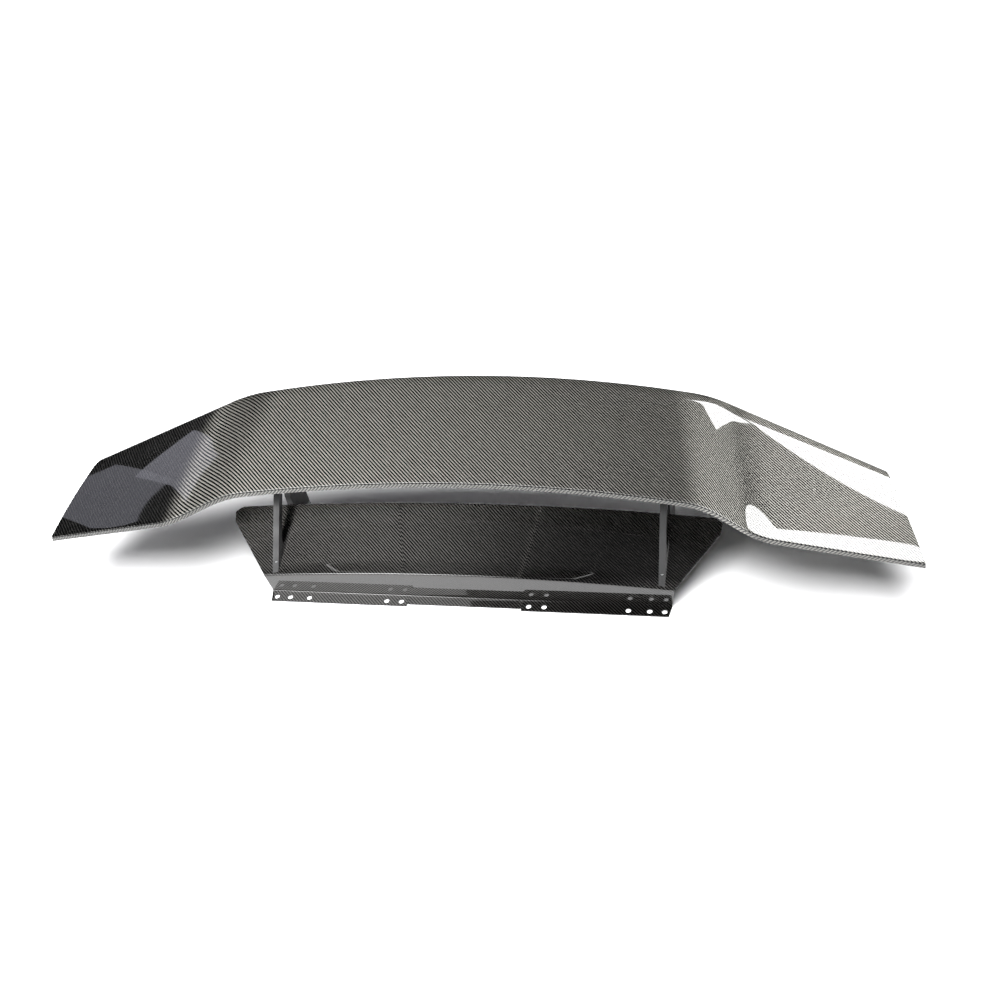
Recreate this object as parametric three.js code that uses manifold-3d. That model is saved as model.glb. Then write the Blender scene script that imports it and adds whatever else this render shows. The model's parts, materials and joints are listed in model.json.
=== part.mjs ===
// Racing rear wing: a gull-shaped carbon blade on two plate uprights, standing on a thin carbon base cover.
// Millimetres, +Z up, +X along the span. +Y runs from the blade's trailing edge to its leading edge.
import * as THREE from 'three';
import { mergeVertices } from 'three/addons/utils/BufferGeometryUtils.js';
import Module from 'manifold-3d';

const manifoldLibrary = await Module();
manifoldLibrary.setup();

// ---------------------------------------------------------------- driving sizes

const clearance = 0.3;          // between any two touching pieces

// Blade outline. Each edge is given at the middle, at its kinks and at the tip, for one half of the span.
const trailingTipX = 815;
const leadingTipX = 753;
const trailing = {
  tipX: trailingTipX,
  depth: { middle: 104, knots: [
    { x: 445, value: 69, blend: 32 }, { x: 541, value: 13, blend: 30 }, { x: trailingTipX, value: 18 }] },
  height: { middle: 216.5, knots: [
    { x: 445, value: 209.5, blend: 32 }, { x: 541, value: 192.5, blend: 30 },
    { x: trailingTipX, value: 132.5 }] },
};
const leading = {
  tipX: leadingTipX,
  depth: { middle: 331, knots: [{ x: 448, value: 286, blend: 34 }, { x: leadingTipX, value: 180 }] },
  height: { middle: 284.5, knots: [{ x: 448, value: 274.5, blend: 34 }, { x: leadingTipX, value: 194.5 }] },
};
const bladeCrown = 5;           // rise of the upper surface over its chord
const bladeFaceHeight = 11;     // blunt trailing face, square to the chord
const bladeFaceLean = 4.5;      // how far the foot of that face stands out
const bladeBellyMiddle = 26;    // depth of the lower surface in the centre section
const bladeBellyTip = 17;       // and at the tips
const noseDrop = 7;             // from the upper surface to the joint line along the nose
const noseLength = 26;
const skinWall = 1.8;

// Inside the blade.
const sparWall = 4;
const rearSparAt = 0.28;        // share of the chord, from the trailing edge
const frontSparAt = 0.8;
const sparEndGap = 16;          // from a spar's end to the tip
const ribWall = 5;
const kinkRibX = 488;
const tipCapWall = 4;

// Uprights, cut from flat plate.
const uprightX = 370;           // middle of the plate
const uprightWall = 12;
const strutDepth = 15;          // front strut, square to its length
const strutFootY = 19;          // toe of the front strut on the base
const strutAngle = 46;          // rise of the front strut, degrees
const legFrontY = 160;          // rear leg, behind the base's lip
const legRearY = 226;
const legFrontTopZ = 118;       // where the rear leg's front edge leans back towards the arch corner
const legRearTopZ = 90;         // where its rear edge leans back towards the top
const uprightTopFrontY = 196;   // top of the strut's front edge
const uprightTopRearY = 243;
const archTopY = 184;           // inside corner where strut and leg join
const archTopZ = 168;
const uprightFootGap = 2;       // underside of the rear leg above the floor
const uprightRadii = { legRear: 60, legFoot: 4, legFront: 24, archTop: 9, archStrut: 10, heel: 26 };
const uprightTrim = 40;         // raw plate left beyond what it meets, trimmed to fit

// Saddles between blade and uprights.
const saddleWidth = 56;
const saddleDepth = 6;
const saddleFrom = 0.47;        // share of the chord
const saddleTo = 0.75;
const hardpointHeadroom = 2;
const saddleBoltSpread = 18;    // bolt rows either side of the upright
const saddleBoltsAt = [0.51, 0.71];
const saddleScrewsAt = [0.56, 0.66];
const saddleBoltLength = 20;
const saddleScrewLength = 24;
const screwSink = 0.5;          // head of a flush screw below the saddle's face

// Base cover, one thin shell: flange, upright face, strip, ramp and rolled lip.
const baseWall = 2.5;
const flangeFrontY = -10.5;
const faceY = 15;
const faceTopMiddle = 65;
const faceTopEnd = 45;
const flangeFrontX = 382.5;     // half widths
const faceFootX = 387;
const faceTopX = 393;
const creaseMiddleY = 46;
const creaseEndY = 33;
const rampStartZ = 46.5;
const rampAngle = 26;
const rampCrown = 3.5;
const lipMiddleY = 154;
const lipEndY = 141;
const lipHeight = 12;
const lipRadius = 6;
const sideCornerY = 111;        // the side edge flares out to here
const sideCornerX = 470;
const lipCornerY = 129;         // and the corner is cut from here to the lip
const lipCornerX = 473;
const lipEndX = 455;
const foldRadius = 3;
const faceTopRadius = 4;
const recessHalfWidth = 110;
const recessDepth = 5;
const flangeHoleDiameter = 10;
const flangeHoleX = [123, 152, 308, 347, 374];

// Front feet: backing plates and screws under the base.
const backingWidth = 40;
const backingFromY = 24;
const backingToY = 76;
const backingWall = 4;
const footScrewY = [39, 61];
const footScrewLength = 14;
const backingGap = 0.4;         // extra room under the base, whose underside is faceted

// Rear feet: steel angles.
const angleWall = 4;
const angleLeg = 40;
const angleFromY = 165;
const angleToY = 221;
const angleBoltY = [179, 207];
const angleBoltZ = 25;
const floorHoleDiameter = 9;
const floorHoleInset = 22;      // from the angle's upright leg

// Fasteners.
const m8 = { shank: 8, across: 13, head: 5.3, nut: 6.5 };
const m6 = { shank: 6, across: 10, head: 4, nut: 5 };
const holeFit = 0.6;            // a hole's diameter over its bolt's
const seatRelief = 1.6;         // depth of the spot face round a bolt head
const spotFaceRoom = 3;         // its diameter over the head's corners
const boltProud = 3;            // bolt end beyond its nut
const countersinkLand = 1;      // straight rim of a flush screw's head
const drillReach = 12;          // how far a drill runs past the piece it cuts

// ---------------------------------------------------------------- materials

const material = (color, roughness, metalness) => (
  new THREE.MeshStandardMaterial({ color, roughness, metalness }));
const carbonGloss = material('#2c2c2d', 0.12, 0.2);
const carbonDull = material('#1d1d1e', 0.6, 0.1);
const blackPlate = material('#161617', 0.42, 0.6);
const aluminium = material('#a9abae', 0.4, 0.9);
const steel = material('#8d8f92', 0.35, 0.9);

// ---------------------------------------------------------------- general shape helpers

const radians = (degrees) => degrees * Math.PI / 180;
const mix = (a, b, t) => a + (b - a) * t;
const range = (count) => Array.from({ length: count }, (_, index) => index);

/** Evenly spaced values from a to b, ends included. */
const spread = (a, b, count) => range(count).map((index) => mix(a, b, index / (count - 1)));

/** A ramp that starts at 0 and rounds its corner over the blend length on both sides. */
function softRamp(distance, blend) {
  if (distance <= -blend) return 0;
  if (distance >= blend) return distance;
  return (distance + blend) ** 2 / (4 * blend);
}

/** One coordinate of a blade edge against the distance from the middle: a parabola as far as the first kink,
 *  then straight runs, with the kinks rounded. */
function edgeLine({ middle, knots }) {
  const bow = knots[0].value - middle;
  return (x) => {
    const t = x / knots[0].x;
    let value = middle + bow * (t < 1 ? t * t : 2 * t - 1);
    let slope = 2 * bow / knots[0].x;
    for (let index = 0; index + 1 < knots.length; index += 1) {
      const here = knots[index];
      const next = knots[index + 1];
      const nextSlope = (next.value - here.value) / (next.x - here.x);
      value += (nextSlope - slope) * softRamp(x - here.x, here.blend);
      slope = nextSlope;
    }
    return value;
  };
}

/** The most of a leg that a rounded corner may use up. */
const cornerShare = 0.45;

/** The points of a rounded corner of a 2-D outline. */
function roundCorner(before, corner, after, radius, steps) {
  const inward = new THREE.Vector2().subVectors(before, corner).normalize();
  const outward = new THREE.Vector2().subVectors(after, corner).normalize();
  const half = Math.acos(THREE.MathUtils.clamp(inward.dot(outward), -1, 1)) / 2;
  const leg = Math.min(before.distanceTo(corner), after.distanceTo(corner));
  const reach = Math.min(radius / Math.tan(half), cornerShare * leg);
  const centre = new THREE.Vector2().addVectors(inward, outward).normalize()
    .multiplyScalar(reach / Math.cos(half)).add(corner);
  const start = inward.clone().multiplyScalar(reach).add(corner).sub(centre);
  const sweep = (Math.PI - 2 * half) * Math.sign(inward.cross(outward)) * -1;
  const origin = new THREE.Vector2();
  return range(steps + 1)
    .map((step) => start.clone().rotateAround(origin, sweep * step / steps).add(centre));
}

/** A closed outline from [x, y, radius] corners. */
function roundedOutline(corners, steps = 6) {
  const points = corners.map(([x, y]) => new THREE.Vector2(x, y));
  const count = points.length;
  return corners.flatMap(([, , radius], index) => (radius
    ? roundCorner(points.at(index - 1), points[index], points[(index + 1) % count], radius, steps)
    : [points[index]]));
}

/** A geometry from rows of points. Every row is a closed loop with the same number of points: the first half
 *  runs along one side and the second half runs back along the other, so that the ends close as strips. */
function loftLoops(loops) {
  const count = loops[0].length;
  const positions = loops.flat().flatMap((point) => point.toArray());
  const indices = [];
  for (let row = 0; row + 1 < loops.length; row += 1) {
    for (let column = 0; column < count; column += 1) {
      const a = row * count + column;
      const b = row * count + (column + 1) % count;
      indices.push(a, b, b + count, a, b + count, a + count);
    }
  }
  const last = (loops.length - 1) * count;
  for (let column = 0; column + 1 < count / 2; column += 1) {
    const back = count - 1 - column;
    indices.push(column, back, back - 1, column, back - 1, column + 1);
    indices.push(last + column, last + back - 1, last + back);
    indices.push(last + column, last + column + 1, last + back - 1);
  }
  const geometry = new THREE.BufferGeometry();
  geometry.setAttribute('position', new THREE.Float32BufferAttribute(positions, 3));
  geometry.setIndex(indices);
  return outwardFacing(geometry);
}

/** Turns the faces round if they point inwards. */
function outwardFacing(geometry) {
  const position = geometry.attributes.position;
  const index = geometry.index.array;
  const [a, b, c] = range(3).map(() => new THREE.Vector3());
  let volume = 0;
  for (let face = 0; face < index.length; face += 3) {
    a.fromBufferAttribute(position, index[face]);
    b.fromBufferAttribute(position, index[face + 1]);
    c.fromBufferAttribute(position, index[face + 2]);
    volume += a.dot(b.cross(c));
  }
  if (volume < 0) index.reverse();
  return geometry;
}

/** A flat plate: an outline in the YZ plane, given thickness along X about its middle. */
function plateAcrossX(outline, middleX, thickness) {
  const shape = new THREE.Shape(outline);
  const geometry = new THREE.ExtrudeGeometry(shape, { depth: thickness, bevelEnabled: false });
  geometry.translate(0, 0, -thickness / 2);
  const basis = new THREE.Matrix4().makeBasis(
    new THREE.Vector3(0, 1, 0), new THREE.Vector3(0, 0, 1), new THREE.Vector3(1, 0, 0));
  return geometry.applyMatrix4(basis).translate(middleX, 0, 0);
}

/** A cylinder along its local Z from one height to another, moved by a matrix. */
function rod(diameter, from, to, frame, segments = 14) {
  const geometry = new THREE.CylinderGeometry(diameter / 2, diameter / 2, to - from, segments);
  return geometry.rotateX(Math.PI / 2).translate(0, 0, (from + to) / 2).applyMatrix4(frame);
}

function toManifold(geometry) {
  const bare = new THREE.BufferGeometry();
  bare.setAttribute('position', geometry.attributes.position);
  if (geometry.index) bare.setIndex(geometry.index);
  const welded = mergeVertices(bare, 1e-4);
  return new manifoldLibrary.Manifold(new manifoldLibrary.Mesh({
    numProp: 3,
    vertProperties: Float32Array.from(welded.attributes.position.array),
    triVerts: Uint32Array.from(welded.index.array),
  }));
}

function fromManifold(solid) {
  const mesh = solid.getMesh();
  const geometry = new THREE.BufferGeometry();
  geometry.setAttribute('position', new THREE.Float32BufferAttribute(mesh.vertProperties, 3));
  geometry.setIndex(Array.from(mesh.triVerts));
  return geometry;
}

/** A geometry with the given geometries cut out of it. */
function cut(geometry, tools) {
  return fromManifold(tools.reduce((solid, tool) => solid.subtract(toManifold(tool)), toManifold(geometry)));
}

/** Geometries joined into one body. */
function join(geometries) {
  return fromManifold(geometries.map(toManifold).reduce((whole, solid) => whole.add(solid)));
}

// ---------------------------------------------------------------- blade surfaces

const trailingY = edgeLine(trailing.depth);
const trailingZ = edgeLine(trailing.height);
const leadingY = edgeLine(leading.depth);
const leadingZ = edgeLine(leading.height);

/** The section at a station from -1 (left tip) to 1 (right tip): where it starts, its chord, and the two
 *  directions in its plane. */
function bladeSection(station) {
  const trailX = trailing.tipX * station;
  const leadX = leading.tipX * station;
  const start = new THREE.Vector3(trailX, trailingY(Math.abs(trailX)), trailingZ(Math.abs(trailX)));
  const end = new THREE.Vector3(leadX, leadingY(Math.abs(leadX)), leadingZ(Math.abs(leadX)));
  const along = new THREE.Vector3().subVectors(end, start);
  const chord = along.length();
  along.normalize();
  const up = new THREE.Vector3(0, 0, 1).addScaledVector(along, -along.z).normalize();
  const outboard = softRamp(Math.abs(trailX) - trailing.depth.knots[0].x, trailing.depth.knots[0].blend);
  const share = outboard / (trailing.tipX - trailing.depth.knots[0].x);
  const belly = mix(bladeBellyMiddle, bladeBellyTip, Math.min(share, 1));
  return { start, along, up, chord, belly };
}

const sectionPoint = (section, distance, height) => section.start.clone()
  .addScaledVector(section.along, distance).addScaledVector(section.up, height);

/** How far a quarter ellipse has turned in over the nose, from 0 before it to 1 at its tip. */
function noseTurn(section, distance) {
  const t = Math.max(0, (distance - section.chord + noseLength) / noseLength);
  return 1 - Math.sqrt(Math.max(0, 1 - t * t));
}

/** Height of the upper surface over the chord line. */
function upperHeight(section, distance) {
  const share = distance / section.chord;
  const free = bladeCrown * 4 * share * (1 - share);
  return mix(free, -noseDrop, noseTurn(section, distance));
}

/** Height of the lower surface, which is below the chord line. */
function lowerHeight(section, distance) {
  const share = THREE.MathUtils.clamp(distance / section.chord, 0, 1);
  const free = -mix(bladeFaceHeight, section.belly, Math.sin(Math.PI * share));
  return mix(free, -noseDrop, noseTurn(section, distance));
}

/** Distances along the chord, closer together round the nose. */
function chordStops(section, count) {
  const flat = spread(0, section.chord - noseLength, count);
  const nose = spread(0, Math.PI / 2, 5).slice(1);
  return [...flat, ...nose.map((angle) => section.chord - noseLength + noseLength * Math.sin(angle))];
}

/** A 2-D line moved sideways by a distance, with mitred corners. */
function offsetLine(points, distance) {
  return points.map((point, index) => {
    const before = points[Math.max(index - 1, 0)];
    const after = points[Math.min(index + 1, points.length - 1)];
    const into = new THREE.Vector2().subVectors(index ? point : after, index ? before : point).normalize();
    const out = new THREE.Vector2().subVectors(index + 1 < points.length ? after : point,
      index + 1 < points.length ? point : before).normalize();
    const normal = new THREE.Vector2(-into.y - out.y, into.x + out.x).normalize();
    const spreadOut = Math.max(0.5, normal.dot(new THREE.Vector2(-into.y, into.x)));
    return point.clone().addScaledVector(normal, distance / spreadOut);
  });
}

/** Stations along the whole span, closer together over the kinks. */
function spanStations(reach = 1) {
  const inner = (trailing.depth.knots[0].x - 2 * trailing.depth.knots[0].blend) / trailing.tipX;
  const outer = (trailing.depth.knots[1].x + 2 * trailing.depth.knots[1].blend) / trailing.tipX;
  const half = [...spread(0, inner, 6), ...spread(inner, outer, 11).slice(1),
    ...spread(outer, reach, 3).slice(1)];
  return [...half.slice(1).reverse().map((station) => -station), ...half];
}

/** A skin from its outer line: each section's line and its offset make one closed loop. */
function bladeSkin(outerLine, inwardSign) {
  const loops = spanStations().map((station) => {
    const section = bladeSection(station);
    const outer = outerLine(section);
    const inner = offsetLine(outer, inwardSign * skinWall);
    const nose = outer[outer.length - 1];
    inner[inner.length - 1].set(nose.x - skinWall, nose.y);      // both skins end level at the joint line
    return [...outer, ...inner.reverse()].map((point) => sectionPoint(section, point.x, point.y));
  });
  return loftLoops(loops);
}

const upperLine = (section) => chordStops(section, 9).map((distance, index, stops) => {
  const joint = index === stops.length - 1 ? clearance / 2 : 0;
  return new THREE.Vector2(distance, upperHeight(section, distance) + joint);
});

function lowerLine(section) {
  const faceTop = new THREE.Vector2(-bladeFaceLean * 0.2, -skinWall - clearance);
  const faceFoot = new THREE.Vector2(-bladeFaceLean, -bladeFaceHeight + 1);
  const faceHeel = new THREE.Vector2(-bladeFaceLean + 1.5, -bladeFaceHeight);
  const belly = chordStops(section, 9).slice(1).map((distance, index, stops) => {
    const joint = index === stops.length - 1 ? clearance / 2 : 0;
    return new THREE.Vector2(distance, lowerHeight(section, distance) - joint);
  });
  return [faceTop, faceFoot, faceHeel, ...belly];
}

/** A solid that fills the inside of the blade between two shares of the chord, over the given stations. */
function bladeFiller(stations, from, to, count, headroom = 0) {
  const wall = skinWall * 1.15 + clearance;
  return loftLoops(stations.map((station) => {
    const section = bladeSection(station);
    const stops = spread(from * section.chord, to * section.chord, count);
    const top = stops.map((stop) => sectionPoint(section, stop, upperHeight(section, stop) - wall - headroom));
    const bottom = stops.map((stop) => sectionPoint(section, stop, lowerHeight(section, stop) + wall));
    return [...top, ...bottom.reverse()];
  }));
}

/** A slab under the blade at the given shares of the chord, between two depths below its lower surface. */
function bladeUnderSlab(stations, shares, upperDepth, lowerDepth) {
  return loftLoops(stations.map((station) => {
    const section = bladeSection(station);
    const stops = shares.map((share) => share * section.chord);
    const at = (depth) => stops
      .map((stop) => sectionPoint(section, stop, lowerHeight(section, stop) - depth));
    return [...at(upperDepth), ...at(lowerDepth).reverse()];
  }));
}

/** The span distance that a station of 1 stands for, at the middle of the chord. */
const bladeMiddleX = (trailing.tipX + leading.tipX) / 2;

/** Stations at the two ends and the middle of a piece that is centred on one place along the span. */
const stationsAcross = (middleX, width) => spread(middleX - width / 2, middleX + width / 2, 3)
  .map((x) => x / bladeMiddleX);

/** A frame on the blade's underside at a share of the chord: local Z points up, square to the chord. */
function bladeFrame(x, share) {
  const section = bladeSection(x / bladeMiddleX);
  const stop = share * section.chord;
  const place = sectionPoint(section, stop, lowerHeight(section, stop));
  const side = new THREE.Vector3().crossVectors(section.along, section.up);
  return new THREE.Matrix4().makeBasis(side, section.along, section.up).setPosition(x, place.y, place.z);
}

// ---------------------------------------------------------------- base surfaces

const square = (t) => t * t;
const faceTopZ = (x) => mix(faceTopMiddle, faceTopEnd, square(x / faceTopX));
const creaseY = (x) => mix(creaseMiddleY, creaseEndY, square(x / faceTopX));
const lipY = (x) => mix(lipMiddleY, lipEndY, square(x / lipEndX));
const rampZ = (x, y) => rampStartZ + (y - faceY) * Math.tan(radians(rampAngle))
  + rampCrown * (1 - square(x / lipEndX));

/** Height of the base's upper surface anywhere behind its face. */
function baseTopZ(x, y) {
  const crease = creaseY(x);
  if (y >= crease) return rampZ(x, y);
  return mix(faceTopZ(x), rampZ(x, crease), (y - faceY) / (crease - faceY));
}

/** Half width of the base at a depth behind the face. */
function baseHalfWidth(y) {
  if (y <= sideCornerY) return mix(faceTopX, sideCornerX, (y - faceY) / (sideCornerY - faceY));
  if (y <= lipCornerY) return mix(sideCornerX, lipCornerX, (y - sideCornerY) / (lipCornerY - sideCornerY));
  return mix(lipCornerX, lipEndX, Math.min(1, (y - lipCornerY) / (lipEndY - lipCornerY)));
}

/** Rows along the ramp, as shares of its depth: one half way to the side corner, then one at each corner. */
const rampShares = [(creaseEndY + sideCornerY) / 2, sideCornerY, lipCornerY]
  .map((y) => (y - creaseEndY) / (lipEndY - lipRadius - creaseEndY));

/** The base's section at a distance from the middle, from the flange's front edge to the foot of the lip. */
function baseLine(x) {
  const crease = creaseY(x);
  const lip = lipY(x);
  const corner = (y, z) => new THREE.Vector2(y, z);
  const edge = corner(flangeFrontY, baseWall);
  const fold = corner(faceY, baseWall);
  const faceTop = corner(faceY, faceTopZ(x));
  const creaseCorner = corner(crease, rampZ(x, crease));
  const lipTop = corner(lip, rampZ(x, lip));
  const lipFoot = corner(lip, rampZ(x, lip) - lipHeight);
  const strip = spread(faceY + faceTopRadius, crease, 4).slice(1, -1);
  const ramp = rampShares.map((share) => mix(crease, lip - lipRadius, share));
  return [
    edge,
    ...roundCorner(edge, fold, faceTop, foldRadius, 3),
    ...roundCorner(fold, faceTop, creaseCorner, faceTopRadius, 3),
    ...strip.map((y) => corner(y, baseTopZ(x, y))),
    creaseCorner,
    ...ramp.map((y) => corner(y, rampZ(x, y))),
    ...roundCorner(creaseCorner, lipTop, lipFoot, lipRadius, 3),
    lipFoot,
  ];
}

/** Half width of each point of the base's section. */
function baseRowWidths() {
  const front = [flangeFrontX, faceFootX, faceFootX, faceFootX, faceFootX];
  const rows = baseLine(faceTopX).length;
  return range(rows).map((row) => {
    if (row < front.length) return front[row];
    let width = faceTopX;
    for (let pass = 0; pass < 6; pass += 1) width = baseHalfWidth(Math.max(faceY, baseLine(width)[row].x));
    return width;
  });
}

function baseShell() {
  const widths = baseRowWidths();
  const columns = spread(-1, 1, 37);
  const loops = columns.map((column) => {
    const outer = widths.map((width, row) => {
      const x = column * width;
      return { x, point: baseLine(x)[row] };
    });
    const inner = offsetLine(outer.map(({ point }) => point), -baseWall);
    const top = outer.map(({ x, point }) => new THREE.Vector3(x, point.x, point.y));
    const under = inner.map((point, row) => new THREE.Vector3(outer[row].x, point.x, point.y));
    return [...top, ...under.reverse()];
  });
  const recess = new THREE.BoxGeometry(2 * recessHalfWidth, 2 * recessDepth, 6 * baseWall)
    .translate(0, flangeFrontY, 0);
  const drill = new THREE.Matrix4();
  const flangeHoles = flangeHoleX.flatMap((x) => [x, -x])
    .map((x) => rod(flangeHoleDiameter, -baseWall, 2 * baseWall, drill.clone().makeTranslation(x, 0, 0)));
  const screwHoles = [1, -1].flatMap((side) => footScrewY
    .map((y) => rod(m6.shank + holeFit, -drillReach, drillReach, baseFrame(side * uprightX, y), 14)));
  return cut(loftLoops(loops), [recess, ...flangeHoles, ...screwHoles]);
}

/** A frame on the base's upper surface: local Z points up, square to the ramp. */
function baseFrame(x, y) {
  return new THREE.Matrix4().makeRotationX(radians(rampAngle)).setPosition(x, y, baseTopZ(x, y));
}

/** A slab that follows the base between two depths below its upper surface. Negative depths are above it. */
function baseSlab(fromX, toX, fromY, toY, upperDepth, lowerDepth) {
  return loftLoops(spread(fromX, toX, 3).map((x) => {
    const stops = [...spread(fromY, creaseY(x), 4), ...spread(creaseY(x), toY, 6).slice(1)];
    const at = (depth) => stops.map((y) => new THREE.Vector3(x, y, baseTopZ(x, y) - depth));
    return [...at(upperDepth), ...at(lowerDepth).reverse()];
  }));
}

const throughRamp = (thickness) => thickness / Math.cos(radians(rampAngle));

// ---------------------------------------------------------------- fasteners

/** A hex bolt: the seat is at local Z 0, the shank rises and the head hangs below. */
function hexBolt({ shank, across, head }, length, frame) {
  const corner = across / Math.cos(Math.PI / 6);
  const body = rod(shank, -head / 2, length, new THREE.Matrix4(), 16);
  return join([rod(corner, -head, 0, new THREE.Matrix4(), 6), body]).applyMatrix4(frame);
}

/** A hex nut with its bearing face at local Z 0, standing above it. */
function hexNut({ shank, across, nut }, frame) {
  const corner = across / Math.cos(Math.PI / 6);
  const blank = rod(corner, 0, nut, new THREE.Matrix4(), 6);
  const hole = rod(shank + holeFit, -drillReach, nut + drillReach, new THREE.Matrix4(), 16);
  return cut(blank, [hole]).applyMatrix4(frame);
}

/** A countersunk-style screw, head up, its head's top at local Z 0 and the shank hanging down. */
function flushScrew({ shank, across }, length, frame) {
  const coneFoot = -countersinkLand - (across - shank) / 2;
  const profile = [[0, 0], [across / 2, 0], [across / 2, -countersinkLand], [shank / 2, coneFoot],
    [shank / 2, -length], [0, -length]];
  const points = profile.map(([x, y]) => new THREE.Vector2(x, y)).reverse();
  return new THREE.LatheGeometry(points, 16).rotateX(Math.PI / 2).applyMatrix4(frame);
}

/** What a flush screw needs cut away: its own shape, a clearance larger all round. */
function flushScrewPocket({ shank, across }, length, frame) {
  const wide = across + 2 * clearance;
  const headFoot = -countersinkLand - (across - shank) / 2 - clearance;
  return [rod(wide, headFoot, drillReach / 3, frame, 16), rod(shank + holeFit, -length - 1, 0, frame, 16)];
}

// ---------------------------------------------------------------- the assembly

const wing = new THREE.Group();

function addPiece(name, geometry, look) {
  const mesh = new THREE.Mesh(geometry, look);
  mesh.name = name;
  wing.add(mesh);
}

const sides = [{ label: 'left', sign: -1 }, { label: 'right', sign: 1 }];

const saddleShares = spread(saddleFrom, saddleTo, 5);
const saddleSeat = -(saddleDepth + clearance);           // under the lower surface, in a blade frame
const saddleBoltPlaces = (sign) => [-1, 1].flatMap((row) => saddleBoltsAt.map((share) => (
  bladeFrame(sign * uprightX + row * saddleBoltSpread, share))));
const saddleScrewPlaces = (sign) => saddleScrewsAt.map((share) => bladeFrame(sign * uprightX, share));
const inFrame = (frame, z) => frame.clone().multiply(new THREE.Matrix4().makeTranslation(0, 0, z));

function addBlade() {
  const boltHoles = sides.flatMap(({ sign }) => saddleBoltPlaces(sign)
    .map((frame) => rod(m8.shank + holeFit, saddleSeat - clearance, drillReach / 2, frame, 16)));
  addPiece('blade_upper_skin', bladeSkin(upperLine, -1), carbonGloss);
  addPiece('blade_lower_skin', cut(bladeSkin(lowerLine, 1), boltHoles), carbonGloss);
  const sparStations = spanStations(1 - (sparEndGap + tipCapWall) / trailing.tipX);
  const chordMiddle = bladeSection(0).chord;
  const sparShare = sparWall / chordMiddle;
  addPiece('rear_spar', bladeFiller(sparStations, rearSparAt, rearSparAt + sparShare, 2), carbonDull);
  addPiece('front_spar', bladeFiller(sparStations, frontSparAt, frontSparAt + sparShare, 2), carbonDull);
  const sparGapShare = 2 * clearance / chordMiddle;
  const bayFrom = rearSparAt + sparShare + sparGapShare;
  const bayTo = frontSparAt - sparGapShare;
  sides.forEach(({ label, sign }) => {
    const ribStations = stationsAcross(sign * kinkRibX, ribWall);
    addPiece(`kink_rib_${label}`, bladeFiller(ribStations, bayFrom, bayTo, 12), carbonDull);
    const capStations = spread(sign * (1 - tipCapWall / trailing.tipX), sign * 1, 2);
    const capTo = 1 - (noseLength * 0.5) / bladeSection(1).chord;
    addPiece(`tip_cap_${label}`, bladeFiller(capStations, 0.01, capTo, 14), carbonGloss);
    const block = bladeFiller(stationsAcross(sign * uprightX, saddleWidth), saddleFrom, saddleTo, 8,
      hardpointHeadroom);
    const blockHoles = saddleBoltPlaces(sign)
      .map((frame) => rod(m8.shank + holeFit, saddleSeat, saddleBoltLength + saddleSeat + 3, frame, 16));
    addPiece(`hardpoint_${label}`, cut(block, blockHoles), aluminium);
  });
}

/** The upright's outline in the YZ plane, before its top and its front foot are trimmed to what they meet. */
function uprightOutline() {
  const rise = Math.tan(radians(strutAngle));
  const footZ = baseTopZ(uprightX, strutFootY);
  const frontAt = (y) => footZ + (y - strutFootY) * rise;
  const backDrop = strutDepth / Math.cos(radians(strutAngle));
  const heelY = strutFootY + backDrop / (rise - Math.tan(radians(rampAngle)));
  const toeY = strutFootY - strutDepth;
  const archStrutY = archTopY - strutDepth;
  const heelTopY = heelY + strutDepth;
  return roundedOutline([
    [toeY, frontAt(toeY), 0],
    [uprightTopFrontY, frontAt(uprightTopFrontY), 0],
    [uprightTopRearY, frontAt(uprightTopFrontY) + uprightTrim, 0],
    [legRearY, legRearTopZ, uprightRadii.legRear],
    [legRearY, uprightFootGap, uprightRadii.legFoot],
    [legFrontY, uprightFootGap, uprightRadii.legFoot],
    [legFrontY, legFrontTopZ, uprightRadii.legFront],
    [archTopY, archTopZ, uprightRadii.archTop],
    [archStrutY, frontAt(archStrutY) - backDrop, uprightRadii.archStrut],
    [heelTopY, frontAt(heelTopY) - backDrop, uprightRadii.heel],
    [heelY + strutDepth - 1, baseTopZ(uprightX, heelTopY) - drillReach, 0],
  ]);
}

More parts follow.
